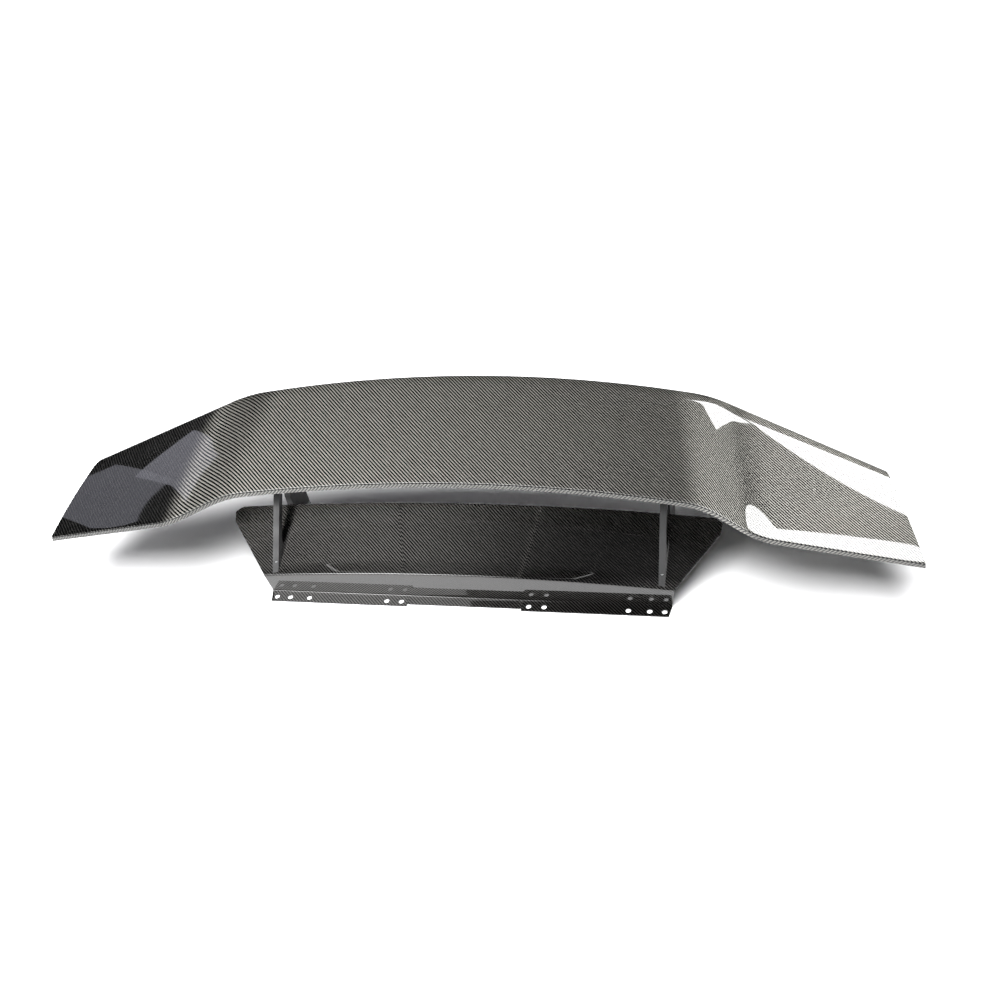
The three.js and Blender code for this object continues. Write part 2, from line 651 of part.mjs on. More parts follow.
function addUprights() {
  sides.forEach(({ label, sign }) => {
    const x = sign * uprightX;
    const across = stationsAcross(x, saddleWidth);
    const slab = bladeUnderSlab(across, saddleShares, clearance, clearance + saddleDepth);
    const bolts = saddleBoltPlaces(sign);
    const screws = saddleScrewPlaces(sign).map((frame) => inFrame(frame, -clearance - screwSink));
    const pockets = screws.flatMap((frame) => flushScrewPocket(m6, saddleScrewLength, frame));
    const spotFace = m8.across / Math.cos(Math.PI / 6) + spotFaceRoom;
    const spotFaces = bolts
      .map((frame) => rod(spotFace, saddleSeat - drillReach, saddleSeat + seatRelief, frame));
    const boltHoles = bolts
      .map((frame) => rod(m8.shank + holeFit, saddleSeat - clearance, drillReach / 2, frame, 16));
    addPiece(`saddle_${label}`, cut(slab, [...pockets, ...spotFaces, ...boltHoles]), aluminium);

    const beyond = saddleWidth / bladeMiddleX;
    const wide = [across[0] - beyond, ...across, across[across.length - 1] + beyond];
    const above = bladeUnderSlab(wide, [0.2, ...saddleShares, 0.95], -1.5 * uprightTrim,
      2 * clearance + saddleDepth);
    const below = baseSlab(x - uprightWall, x + uprightWall, strutFootY - 1.2 * strutDepth, sideCornerY,
      -clearance, 1.5 * uprightTrim);
    const screwHoleDepth = footScrewLength - baseWall - backingWall;
    const screwHoles = footScrewY
      .map((y) => rod(m6.shank + holeFit, -drillReach, screwHoleDepth, baseFrame(x, y), 14));
    const angleHoles = angleBoltY.map((y) => (
      rod(m8.shank + holeFit, -uprightWall, uprightWall, acrossFrame(x, y, angleBoltZ), 16)));
    const plate = plateAcrossX(uprightOutline(), x, uprightWall);
    const tools = [above, below, ...pockets, ...screwHoles, ...angleHoles];
    addPiece(`upright_${label}`, cut(plate, tools), blackPlate);

    bolts.forEach((frame, index) => {
      const seat = inFrame(frame, saddleSeat + seatRelief - clearance);
      addPiece(`saddle_bolt_${label}_${index + 1}`, hexBolt(m8, saddleBoltLength, seat), steel);
    });
    screws.forEach((frame, index) => {
      addPiece(`saddle_screw_${label}_${index + 1}`, flushScrew(m6, saddleScrewLength, frame), steel);
    });
  });
}

/** A frame with local Z along +X, for what crosses an upright. */
function acrossFrame(x, y, z) {
  return new THREE.Matrix4().makeRotationY(Math.PI / 2).setPosition(x, y, z);
}

function addBase() {
  addPiece('base_cover', baseShell(), carbonGloss);
  sides.forEach(({ label, sign }) => {
    const x = sign * uprightX;
    const top = throughRamp(baseWall + clearance) + backingGap;
    const slab = baseSlab(x - backingWidth / 2, x + backingWidth / 2, backingFromY, backingToY,
      top, top + throughRamp(backingWall));
    const holes = footScrewY
      .map((y) => rod(m6.shank + holeFit, -2 * drillReach, drillReach, baseFrame(x, y), 14));
    addPiece(`backing_plate_${label}`, cut(slab, holes), aluminium);
    const seat = -(baseWall + backingWall + 3 * clearance + backingGap);
    footScrewY.forEach((y, index) => {
      const frame = inFrame(baseFrame(x, y), seat);
      addPiece(`foot_screw_${label}_${index + 1}`, hexBolt(m6, footScrewLength, frame), steel);
    });
  });
}

function addRearFeet() {
  sides.forEach(({ label, sign }) => {
    const inner = uprightX - uprightWall / 2 - clearance;          // face of the angle that meets the upright
    const outline = roundedOutline([
      [inner, 0, 5], [inner, angleLeg, 0], [inner - angleWall, angleLeg, 0], [inner - angleWall, angleWall, 3],
      [inner - angleLeg, angleWall, 0], [inner - angleLeg, 0, 0]], 4);
    const shape = new THREE.Shape(outline.map((point) => new THREE.Vector2(sign * point.x, point.y)));
    const geometry = new THREE.ExtrudeGeometry(shape, { depth: angleToY - angleFromY, bevelEnabled: false });
    const angle = geometry.rotateX(Math.PI / 2).translate(0, angleToY, 0);
    const boltFrames = angleBoltY.map((y) => acrossFrame(0, y, angleBoltZ));
    const sideHoles = boltFrames.map((frame) => rod(m8.shank + holeFit, -uprightX, uprightX, frame, 16));
    const floorHoleX = sign * (inner - floorHoleInset);
    const floorHoles = angleBoltY.map((y) => rod(floorHoleDiameter, -drillReach, drillReach,
      new THREE.Matrix4().makeTranslation(floorHoleX, y, 0), 20));
    addPiece(`foot_angle_${label}`, cut(angle, [...sideHoles, ...floorHoles]), steel);
    const seatX = inner - angleWall - clearance;
    const outerX = uprightX + uprightWall / 2 + clearance;
    const turn = new THREE.Matrix4().makeRotationY(sign * Math.PI / 2);
    angleBoltY.forEach((y, index) => {
      const boltFrame = turn.clone().setPosition(sign * seatX, y, angleBoltZ);
      const nutFrame = turn.clone().setPosition(sign * outerX, y, angleBoltZ);
      const length = outerX - seatX + m8.nut + boltProud;
      addPiece(`foot_bolt_${label}_${index + 1}`, hexBolt(m8, length, boltFrame), steel);
      addPiece(`foot_nut_${label}_${index + 1}`, hexNut(m8, nutFrame), steel);
    });
  });
}

addBlade();
addUprights();
addBase();
addRearFeet();

export default wing;
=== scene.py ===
"""Looks of the racing rear wing: clear-coated carbon blade and base cover, satin black uprights and
plated hardware."""

import json
import math

import bmesh
import bpy
import numpy as np
from mathutils import Matrix, Vector

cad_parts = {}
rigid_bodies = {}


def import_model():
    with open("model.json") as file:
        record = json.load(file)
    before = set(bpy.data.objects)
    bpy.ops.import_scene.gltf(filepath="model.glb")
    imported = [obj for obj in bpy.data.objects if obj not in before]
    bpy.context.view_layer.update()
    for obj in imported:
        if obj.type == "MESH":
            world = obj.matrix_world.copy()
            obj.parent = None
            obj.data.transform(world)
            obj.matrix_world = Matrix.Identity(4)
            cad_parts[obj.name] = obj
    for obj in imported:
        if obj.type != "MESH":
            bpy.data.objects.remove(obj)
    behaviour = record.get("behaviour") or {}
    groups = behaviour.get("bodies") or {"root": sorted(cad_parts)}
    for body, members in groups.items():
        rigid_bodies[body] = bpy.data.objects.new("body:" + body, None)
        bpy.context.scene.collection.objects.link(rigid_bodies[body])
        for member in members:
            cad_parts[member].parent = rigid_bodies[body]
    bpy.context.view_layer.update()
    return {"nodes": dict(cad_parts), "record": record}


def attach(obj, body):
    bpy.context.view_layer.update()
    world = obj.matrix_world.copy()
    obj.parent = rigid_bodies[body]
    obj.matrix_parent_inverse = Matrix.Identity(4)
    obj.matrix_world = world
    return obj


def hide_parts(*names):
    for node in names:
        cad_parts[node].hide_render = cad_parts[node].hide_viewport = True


MM = 0.001

# ---------------------------------------------------------------- sizes, in millimetres

# Blade edges: the value at the middle, then the distance from the middle, value and blend length at each kink
# and at the tip.
TRAIL_TIP_X = 815.0
TRAIL_DEPTH = (104.0, [(445.0, 69.0, 32.0), (541.0, 13.0, 30.0), (TRAIL_TIP_X, 18.0, 0.0)])
TRAIL_HEIGHT = (216.5, [(445.0, 209.5, 32.0), (541.0, 192.5, 30.0), (TRAIL_TIP_X, 132.5, 0.0)])
LEAD_TIP_X = 753.0
LEAD_DEPTH = (331.0, [(448.0, 286.0, 34.0), (LEAD_TIP_X, 180.0, 0.0)])
LEAD_HEIGHT = (284.5, [(448.0, 274.5, 34.0), (LEAD_TIP_X, 194.5, 0.0)])
BLADE_CROWN = 5.0
FACE_HEIGHT = 11.0              # the blunt trailing face
FACE_LEAN = 4.5
FOOT_TO_HEEL = (2.0, -0.1)      # from the trailing face's foot to where the belly starts
BELLY_MIDDLE = 26.0
BELLY_TIP = 17.0
NOSE_DROP = 7.0
NOSE_LENGTH = 26.0
SKIN_WALL = 1.8
SKIN_JOINT = 0.3                # gap between the skins where they meet
EDGE_RADIUS = 1.2               # round along the upper skin's trailing edge
EDGE_POINTS = 5                 # points round it

# Base cover.
BASE_WALL = 2.5
FLANGE_FRONT_Y = -10.5
FACE_Y = 15.0
FACE_TOP_MIDDLE = 65.0
FACE_TOP_END = 45.0
FLANGE_FRONT_X = 382.5
FACE_FOOT_X = 387.0
FACE_TOP_X = 393.0
CREASE_MIDDLE_Y = 46.0
CREASE_END_Y = 33.0
RAMP_START_Z = 46.5
RAMP_ANGLE = math.radians(26.0)
RAMP_CROWN = 3.5
LIP_MIDDLE_Y = 154.0
LIP_END_Y = 141.0
LIP_HEIGHT = 12.0
LIP_RADIUS = 6.0
SIDE_CORNER = (111.0, 470.0)
LIP_CORNER = (129.0, 473.0)
LIP_END_X = 455.0
FOLD_RADIUS = 3.0
FACE_TOP_RADIUS = 4.0
RIDGE_RADIUS = 3.0
RECESS_HALF_WIDTH = 110.0
RECESS_DEPTH = 5.0
FLANGE_HOLE_RADIUS = 5.0
FLANGE_HOLES_X = (123.0, 152.0, 308.0, 347.0, 374.0)

# Finishes.
TOW = 1.67                      # width of one carbon tow in the weave


# ---------------------------------------------------------------- small helpers

def to_linear(hex_colour):
    """An sRGB hex colour as linear RGBA."""
    channels = [int(hex_colour[start:start + 2], 16) / 255 for start in (1, 3, 5)]
    return [c / 12.92 if c <= 0.04045 else ((c + 0.055) / 1.055) ** 2.4 for c in channels] + [1.0]


def mix(a, b, t):
    return a + (b - a) * t


def soft_ramp(distance, blend):
    """0 before a corner and the distance after it, with a parabola over the blend length on both sides."""
    blend = max(blend, 1e-6)
    rounded = (distance + blend) ** 2 / (4 * blend)
    return np.where(distance <= -blend, 0.0, np.where(distance >= blend, distance, rounded))


def edge_line(x, line):
    """One coordinate of a blade edge: a parabola out to the first kink, then straight runs whose changes of
    slope are added as soft ramps."""
    middle, knots = line
    bow = knots[0][1] - middle
    t = x / knots[0][0]
    value = middle + bow * np.where(t < 1, t * t, 2 * t - 1)
    slope = 2 * bow / knots[0][0]
    for here, after in zip(knots, knots[1:]):
        after_slope = (after[1] - here[1]) / (after[0] - here[0])
        value = value + (after_slope - slope) * soft_ramp(x - here[0], here[2])
        slope = after_slope
    return value


def offset_lines(points, distance):
    """2-D lines (..., count, 2) moved to their left by a distance, mitred at each point."""
    step = np.diff(points, axis=-2)
    step = step / np.linalg.norm(step, axis=-1, keepdims=True)
    into = np.concatenate([step[..., :1, :], step], axis=-2)
    out = np.concatenate([step, step[..., -1:, :]], axis=-2)
    normal = np.stack([-into[..., 1] - out[..., 1], into[..., 0] + out[..., 0]], axis=-1)
    normal = normal / np.linalg.norm(normal, axis=-1, keepdims=True)
    along = np.stack([-into[..., 1], into[..., 0]], axis=-1)
    reach = np.maximum(0.5, np.sum(normal * along, axis=-1, keepdims=True))
    return points + normal * distance / reach


def line_lengths(points):
    """Distance along lines (..., count, n), from 0 at each start."""
    step = np.linalg.norm(np.diff(points, axis=-2), axis=-1)
    return np.concatenate([np.zeros_like(step[..., :1]), np.cumsum(step, axis=-1)], axis=-1)


def shell_mesh(name, outer, inner, uv):
    """A closed thin shell. outer and inner are grids (rows, columns, 3) of points in millimetres, uv is a grid
    (rows, columns, 2) in millimetres; the four rims join the two grids."""
    rows, columns = outer.shape[:2]
    points = np.concatenate([outer.reshape(-1, 3), inner.reshape(-1, 3)]) * MM
    index = np.arange(rows * columns).reshape(rows, columns)
    under = index + rows * columns
    quad = np.stack([index[:-1, :-1], index[1:, :-1], index[1:, 1:], index[:-1, 1:]], axis=-1).reshape(-1, 4)
    back = np.stack([under[:-1, :-1], under[:-1, 1:], under[1:, 1:], under[1:, :-1]], axis=-1).reshape(-1, 4)

    def rim(top, bottom):
        return np.stack([top[:-1], top[1:], bottom[1:], bottom[:-1]], axis=-1)

    rims = [rim(index[0], under[0]), rim(index[-1][::-1], under[-1][::-1]),
            rim(index[:, 0][::-1], under[:, 0][::-1]), rim(index[:, -1], under[:, -1])]
    faces = np.concatenate([quad, back] + rims)
    corner = points[faces]
    volume = np.einsum("ij,ij->", corner[:, 0], np.cross(corner[:, 1], corner[:, 2]))
    volume += np.einsum("ij,ij->", corner[:, 0], np.cross(corner[:, 2], corner[:, 3]))
    if volume < 0:
        faces = faces[:, ::-1]
    mesh = bpy.data.meshes.new(name)
    mesh.vertices.add(len(points))
    mesh.vertices.foreach_set("co", points.ravel())
    mesh.loops.add(faces.size)
    mesh.loops.foreach_set("vertex_index", faces.ravel())
    mesh.polygons.add(len(faces))
    mesh.polygons.foreach_set("loop_start", np.arange(0, faces.size, 4))
    mesh.update(calc_edges=True)
    mesh.polygons.foreach_set("use_smooth", np.ones(len(faces), bool))
    layer = mesh.uv_layers.new(name="weave")
    flat_uv = np.concatenate([uv.reshape(-1, 2)] * 2)
    layer.data.foreach_set("uv", flat_uv[faces.ravel()].ravel() * MM)
    mesh.set_sharp_from_angle(angle=math.radians(38))
    mesh.validate()
    piece = bpy.data.objects.new(name, mesh)
    bpy.context.scene.collection.objects.link(piece)
    return piece


# ---------------------------------------------------------------- blade surfaces

def blade_sections(stations):
    """Start point, unit direction along the chord, unit direction square to it and upwards, chord and belly
    depth of each section, for stations from -1 at the left tip to 1 at the right tip."""
    trail_x, lead_x = TRAIL_TIP_X * stations, LEAD_TIP_X * stations
    start = np.stack([trail_x, edge_line(abs(trail_x), TRAIL_DEPTH), edge_line(abs(trail_x), TRAIL_HEIGHT)], -1)
    end = np.stack([lead_x, edge_line(abs(lead_x), LEAD_DEPTH), edge_line(abs(lead_x), LEAD_HEIGHT)], -1)
    along = end - start
    chord = np.linalg.norm(along, axis=-1)
    along = along / chord[:, None]
    up = np.array([0.0, 0.0, 1.0]) - along * along[:, 2:]
    up = up / np.linalg.norm(up, axis=-1, keepdims=True)
    kink_x, _, blend = TRAIL_DEPTH[1][0]
    share = np.minimum(1.0, soft_ramp(abs(trail_x) - kink_x, blend) / (TRAIL_TIP_X - kink_x))
    return start, along, up, chord, mix(BELLY_MIDDLE, BELLY_TIP, share)


def chord_stops(chord, flat_count, nose_count):
    """Distances along each chord: even as far as the nose, then as a quarter circle's sines to its tip."""
    flat = np.linspace(0, 1, flat_count)[None, :] * (chord[:, None] - NOSE_LENGTH)
    angle = np.linspace(0, math.pi / 2, nose_count + 1)[1:]
    nose = chord[:, None] - NOSE_LENGTH * (1 - np.sin(angle))[None, :]
    return np.concatenate([flat, nose], axis=1)


def nose_turn(chord, distance):
    """How far a quarter ellipse has turned in over the nose, from 0 before it to 1 at its tip."""
    t = np.clip((distance - chord[:, None] + NOSE_LENGTH) / NOSE_LENGTH, 0, 1)
    return 1 - np.sqrt(np.maximum(0, 1 - t * t))


def upper_height(chord, distance):
    """A parabola over the chord, turned down over the nose by a quarter ellipse."""
    share = distance / chord[:, None]
    return mix(BLADE_CROWN * 4 * share * (1 - share), -NOSE_DROP, nose_turn(chord, distance))


def lower_height(chord, belly, distance):
    """Half a sine wave between the trailing face and the nose, turned up over the nose by a quarter ellipse."""
    share = np.clip(distance / chord[:, None], 0, 1)
    free = -mix(FACE_HEIGHT, belly[:, None], np.sin(math.pi * share))
    return mix(free, -NOSE_DROP, nose_turn(chord, distance))


def blade_stations(count):
    """Stations over the span, twice as close together over the kinks."""
    even = np.linspace(-1, 1, count)
    middle = (TRAIL_DEPTH[1][0][0] + TRAIL_DEPTH[1][1][0]) / 2 / TRAIL_TIP_X
    pull = 0.05 * np.tanh((abs(even) - middle) / 0.12) * (1 - abs(even)) * abs(even) * 4
    return even - np.sign(even) * pull


def blade_skin(name, outer, inner, sections, span):
    """One skin: 2-D outer and inner section lines carried into place by each section's own directions."""
    start, along, up = (value[:, None, :] for value in sections[:3])
    place = [start + along * line[..., :1] + up * line[..., 1:] for line in (outer, inner)]
    across = np.broadcast_to(span[:, None], outer.shape[:2])
    uv = np.stack([across, line_lengths(place[0])], axis=-1)
    return shell_mesh(name, place[0], place[1], uv)


def make_blade():
    stations = blade_stations(281)
    sections = blade_sections(stations)
    chord, belly = sections[3], sections[4]
    middle = sections[0] + sections[1] * chord[:, None] / 2
    span = line_lengths(middle)
    span = span - span[len(span) // 2]
    stops = chord_stops(chord, 46, 14)
    joint = SKIN_JOINT / 2

    # Upper skin: a small round along the trailing edge, then the crowned surface to the nose.
    angle = np.linspace(math.pi, math.pi / 2, EDGE_POINTS)[None, :-1]
    ones = np.ones((len(stations), 1))
    edge = np.stack([(EDGE_RADIUS + EDGE_RADIUS * np.cos(angle)) * ones,
                     (-EDGE_RADIUS + EDGE_RADIUS * np.sin(angle)) * ones], axis=-1)
    flat = stops[:, 1:]
    height = upper_height(chord, flat)
    height[:, -1] += joint
    outer = np.concatenate([edge, np.stack([EDGE_RADIUS * ones, 0 * ones], -1), np.stack([flat, height], -1)], 1)
    inner = offset_lines(outer, -SKIN_WALL)
    inner[:, :EDGE_POINTS, 0] = np.linspace(0.2, EDGE_RADIUS, EDGE_POINTS)[None, :]
    inner[:, :EDGE_POINTS, 1] = -SKIN_WALL
    inner[:, -1] = outer[:, -1] - [SKIN_WALL, 0]
    upper = blade_skin("blade_upper", outer, inner, sections, span)

    # Lower skin: the blunt trailing face, a small round at its foot, then the belly to the nose.
    face_top = np.array([-FACE_LEAN * 0.2, -SKIN_WALL - SKIN_JOINT])
    foot = np.array([-FACE_LEAN, -FACE_HEIGHT])
    heel = foot + FOOT_TO_HEEL
    curve = np.linspace(0, 1, 6)[:, None]
    before = mix(face_top, foot, 0.82)
    corner = (1 - curve) ** 2 * before + 2 * curve * (1 - curve) * foot + curve ** 2 * heel
    face = np.concatenate([mix(face_top, before, np.linspace(0, 1, 4)[:-1, None]), corner])
    height = lower_height(chord, belly, flat)
    height[:, -1] -= joint
    outer = np.concatenate([np.broadcast_to(face, (len(stations),) + face.shape),
                            np.stack([flat, height], -1)], 1)
    inner = offset_lines(outer, SKIN_WALL)
    inner[:, -1] = outer[:, -1] - [SKIN_WALL, 0]
    lower = blade_skin("blade_lower", outer, inner, sections, span)
    return upper, lower


# ---------------------------------------------------------------- base cover

def face_top_z(x):
    return mix(FACE_TOP_MIDDLE, FACE_TOP_END, (x / FACE_TOP_X) ** 2)


def crease_y(x):
    return mix(CREASE_MIDDLE_Y, CREASE_END_Y, (x / FACE_TOP_X) ** 2)


def lip_y(x):
    return mix(LIP_MIDDLE_Y, LIP_END_Y, (x / LIP_END_X) ** 2)


def ramp_z(x, y):
    return RAMP_START_Z + (y - FACE_Y) * math.tan(RAMP_ANGLE) + RAMP_CROWN * (1 - (x / LIP_END_X) ** 2)


def base_half_width(y):
    """Half width of the base behind its face: a flaring side, a short straight corner, then the cut to
    the lip."""
    depths = [FACE_Y, SIDE_CORNER[0], LIP_CORNER[0], LIP_END_Y]
    return np.interp(y, depths, [FACE_TOP_X, SIDE_CORNER[1], LIP_CORNER[1], LIP_END_X])


def quarter(corner, start, end, count):
    """A curve round a corner between two points on its legs: a quadratic curve pulled to the corner."""
    t = np.linspace(0, 1, count)[:, None, None]
    return (1 - t) ** 2 * start + 2 * t * (1 - t) * corner + t ** 2 * end


def towards(point, target, distance):
    """A point on the way to a target, at a distance."""
    way = target - point
    return point + way * distance / np.linalg.norm(way, axis=-1, keepdims=True)


def base_lines(x):
    """The base's section at distances x: (rows, len(x), 2) points in depth and height. It runs along the flange,
    up the face, over the strip and the ramp and down round the lip."""
    def corner(y, z):
        return np.stack(np.broadcast_arrays(np.asarray(y, float), np.asarray(z, float), x)[:2], axis=-1)

    crease, lip = crease_y(x), lip_y(x)
    recess = RECESS_DEPTH * (abs(x) < RECESS_HALF_WIDTH)
    edge = corner(FLANGE_FRONT_Y + recess, BASE_WALL)
    fold = corner(FACE_Y, BASE_WALL)
    top = corner(FACE_Y, face_top_z(x))
    ridge = corner(crease, ramp_z(x, crease))
    lip_top = corner(lip, ramp_z(x, lip))
    lip_foot = corner(lip, ramp_z(x, lip) - LIP_HEIGHT)
    fold_in, fold_out = towards(fold, edge, FOLD_RADIUS), towards(fold, top, FOLD_RADIUS)
    top_in, top_out = towards(top, fold, FACE_TOP_RADIUS), towards(top, ridge, FACE_TOP_RADIUS)
    ridge_in, ridge_out = towards(ridge, top, RIDGE_RADIUS), towards(ridge, lip_top, RIDGE_RADIUS)
    lip_in, lip_out = towards(lip_top, ridge, LIP_RADIUS), towards(lip_top, lip_foot, LIP_RADIUS)

    def run(a, b, count):
        return mix(a, b, np.linspace(0, 1, count)[1:-1, None, None])

    return np.concatenate([
        edge[None], run(edge, fold_in, 6), quarter(fold, fold_in, fold_out, 7),
        run(fold_out, top_in, 12), quarter(top, top_in, top_out, 8), run(top_out, ridge_in, 10),
        quarter(ridge, ridge_in, ridge_out, 5), run(ridge_out, lip_in, 44),
        quarter(lip_top, lip_in, lip_out, 9), lip_foot[None]])


def make_base():
    """The base cover: rows of section points, each row scaled to its own half width."""
    columns = np.linspace(-1, 1, 161)
    recess = RECESS_HALF_WIDTH / FLANGE_FRONT_X
    recess_sides = [-recess - 1e-4, -recess + 1e-4, recess - 1e-4, recess + 1e-4]
    columns = np.sort(np.concatenate([columns, recess_sides]))
    row = np.arange(len(base_lines(np.array([FACE_TOP_X]))))
    width = np.full(len(row), FACE_TOP_X)
    for _ in range(8):          # a row's half width and its depth depend on each other, and settle
        line = base_lines(width)[row, row]
        width = base_half_width(line[:, 0])
    front = np.interp(line[:, 0], [FLANGE_FRONT_Y, FACE_Y], [FLANGE_FRONT_X, FACE_FOOT_X])
    climb = np.interp(line[:, 1], [BASE_WALL + FOLD_RADIUS, FACE_TOP_END], [FACE_FOOT_X, FACE_TOP_X])
    on_face = line[:, 0] > FACE_Y - 0.01
    width = np.where(line[:, 0] > FACE_Y + 0.01, width, np.where(on_face, climb, front))
    x = columns[None, :] * width[:, None]
    section = np.stack([base_lines(x[number])[number] for number in row])
    inner = offset_lines(section.swapaxes(0, 1), -BASE_WALL).swapaxes(0, 1)
    outer_points = np.concatenate([x[..., None], section], axis=-1)
    inner_points = np.concatenate([x[..., None], inner], axis=-1)
    uv = np.stack([x, line_lengths(outer_points.swapaxes(0, 1)).swapaxes(0, 1)], axis=-1)
    base = shell_mesh("base_shell", outer_points, inner_points, uv)
    drill(base, [(side * hole, 0.0) for hole in FLANGE_HOLES_X for side in (-1, 1)])
    return base


def drill(piece, places):
    """Cuts the flange holes with upright cylinders."""
    cutters = []
    for x, y in places:
        bpy.ops.mesh.primitive_cylinder_add(vertices=40, radius=FLANGE_HOLE_RADIUS * MM, depth=12 * MM,
                                            location=(x * MM, y * MM, 0))
        cutters.append(bpy.context.object)
    bpy.ops.object.select_all(action="DESELECT")
    for cutter in cutters:
        cutter.select_set(True)
    bpy.context.view_layer.objects.active = cutters[0]
    bpy.ops.object.join()
    tool = bpy.context.object
    modifier = piece.modifiers.new("holes", "BOOLEAN")
    modifier.object = tool
    modifier.solver = "EXACT"
    graph = bpy.context.evaluated_depsgraph_get()
    cut = bpy.data.meshes.new_from_object(piece.evaluated_get(graph), depsgraph=graph)
    piece.modifiers.clear()
    piece.data = cut
    bpy.data.objects.remove(tool)


# ---------------------------------------------------------------- softened copies of the machined pieces

def softened(node, radius):
    """A copy of a CAD node with its corners rounded, for edges that catch the light."""
    source = frame["nodes"][node]
    mesh = source.data.copy()
    piece = bpy.data.objects.new(f"{node}_finished", mesh)
    bpy.context.scene.collection.objects.link(piece)
    work = bmesh.new()
    work.from_mesh(mesh)
    bmesh.ops.remove_doubles(work, verts=work.verts, dist=0.00002)
    bmesh.ops.dissolve_limit(work, angle_limit=math.radians(4), verts=work.verts, edges=work.edges)
    work.to_mesh(mesh)
    work.free()
    mesh.polygons.foreach_set("use_smooth", np.ones(len(mesh.polygons), bool))
    mesh.set_sharp_from_angle(angle=math.radians(30))
    bevel = piece.modifiers.new("rounded corners", "BEVEL")
    bevel.width = radius * MM
    bevel.segments = 3
    bevel.limit_method = "ANGLE"
    bevel.angle_limit = math.radians(35)
    bevel.harden_normals = True
    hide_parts(node)
    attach(piece, "root")
    return piece


# ---------------------------------------------------------------- materials

def new_material(name):
    material = bpy.data.materials.new(name)
    material.use_nodes = True
    material.node_tree.nodes.clear()
    return material, material.node_tree


def node(tree, kind, inputs=None, **settings):
    """Adds a node. settings are its attributes; inputs maps a socket's name or number to a value or to the
    socket that feeds it."""
    added = tree.nodes.new(kind)
    for key, value in settings.items():
        setattr(added, key, value)
    for key, value in (inputs or {}).items():
        if isinstance(value, bpy.types.NodeSocket):
            tree.links.new(value, added.inputs[key])
        else:
            added.inputs[key].default_value = value
    return added


def maths(tree, operation, *values):
    return node(tree, "ShaderNodeMath", dict(enumerate(values)), operation=operation).outputs[0]


def twill(tree, weave_vector):
    """A 2x2 twill in cells one tow wide. The cell (i, j) shows the lengthwise tow where (i + j) mod 4 is under
    2, so the ribs run down to the right. Returns which tow is on top, and a height that domes each float."""
    split = node(tree, "ShaderNodeSeparateXYZ", {0: weave_vector})
    across = maths(tree, "DIVIDE", split.outputs[0], TOW * MM)
    along = maths(tree, "DIVIDE", split.outputs[1], TOW * MM)
    column, row = maths(tree, "FLOOR", across), maths(tree, "FLOOR", along)
    phase = maths(tree, "FLOORED_MODULO", maths(tree, "ADD", column, row), 4.0)
    lengthwise = maths(tree, "LESS_THAN", phase, 1.5)
    part_across, part_along = maths(tree, "SUBTRACT", across, column), maths(tree, "SUBTRACT", along, row)

    def dome(side_part, float_part):
        side = maths(tree, "MULTIPLY", maths(tree, "SUBTRACT", side_part, 0.5), 2.0)
        rounded = maths(tree, "SUBTRACT", 1.0, maths(tree, "MULTIPLY", side, side))
        arch = maths(tree, "SINE", maths(tree, "MULTIPLY", float_part, math.pi / 2))
        return maths(tree, "MULTIPLY", rounded, maths(tree, "ADD", maths(tree, "MULTIPLY", arch, 0.6), 0.4))

    warp = dome(part_across, maths(tree, "ADD", phase, part_along))
    weft = dome(part_along, maths(tree, "ADD", maths(tree, "SUBTRACT", phase, 2.0), part_across))
    height = node(tree, "ShaderNodeMix", {0: lengthwise, 2: weft, 3: warp}).outputs[0]
    return lengthwise, height


def carbon_material(name, painted_lit_tow_hex, coat, weave_from_uv):
    """Carbon-fibre laminate, 2x2 twill of narrow tows in epoxy. Every tow is a bundle of parallel fibres, so it
    throws light back in a fan square to its own run: the tows running across light up under a lamp over the wing
    while the fore-and-aft tows stay dark. That light and shade is also painted into the base colour: the tows
    running across get a painted highlight colour, and the fore-and-aft tows a near-black painted shade. A clear
    coat lies flat over both."""
    material, tree = new_material(name)
    if weave_from_uv:
        coordinates = node(tree, "ShaderNodeUVMap", uv_map="weave").outputs[0]
        tangent = node(tree, "ShaderNodeTangent", direction_type="UV_MAP", uv_map="weave").outputs[0]
    else:
        coordinates = node(tree, "ShaderNodeTexCoord").outputs["Object"]
        tangent = node(tree, "ShaderNodeTangent", direction_type="RADIAL", axis="Z").outputs[0]
    lengthwise, height = twill(tree, coordinates)
    # Painted light: the tows running across take the given highlight colour and the lengthwise tows a near-black
    # painted shade, though both are the same fibre
    painted_lit_tows, painted_dark_tows = to_linear(painted_lit_tow_hex), to_linear("#0a0a0b")
    painted_light_tow_colour = node(tree, "ShaderNodeMix", {0: lengthwise, 6: painted_lit_tows, 7: painted_dark_tows},
                      data_type="RGBA").outputs[2]
    # Painted shade: each tow's colour is darkened towards its sides and float ends, following its dome
    edge = node(tree, "ShaderNodeMapRange", {0: height, 1: 0.05, 2: 0.5, 3: 0.0, 4: 1.0}).outputs[0]
    shaded = node(tree, "ShaderNodeMix", {0: 1.0, 6: painted_light_tow_colour, 7: edge}, data_type="RGBA",
                  blend_type="MULTIPLY").outputs[2]
    bump = node(tree, "ShaderNodeBump", {"Height": height, "Strength": 0.3, "Distance": 0.0002}).outputs[0]
    quarter_turn = maths(tree, "MULTIPLY", maths(tree, "SUBTRACT", 1.0, lengthwise), 0.25)
    shader = node(tree, "ShaderNodeBsdfPrincipled", {
        "Base Color": shaded, "Metallic": 1.0, "Roughness": 0.42, "Normal": bump,
        "Anisotropic": 1.0, "Anisotropic Rotation": quarter_turn, "Tangent": tangent,
        "Coat Weight": coat, "Coat Roughness": 0.02, "Coat IOR": 1.6})
    node(tree, "ShaderNodeOutputMaterial", {0: shader.outputs[0]})
    return material


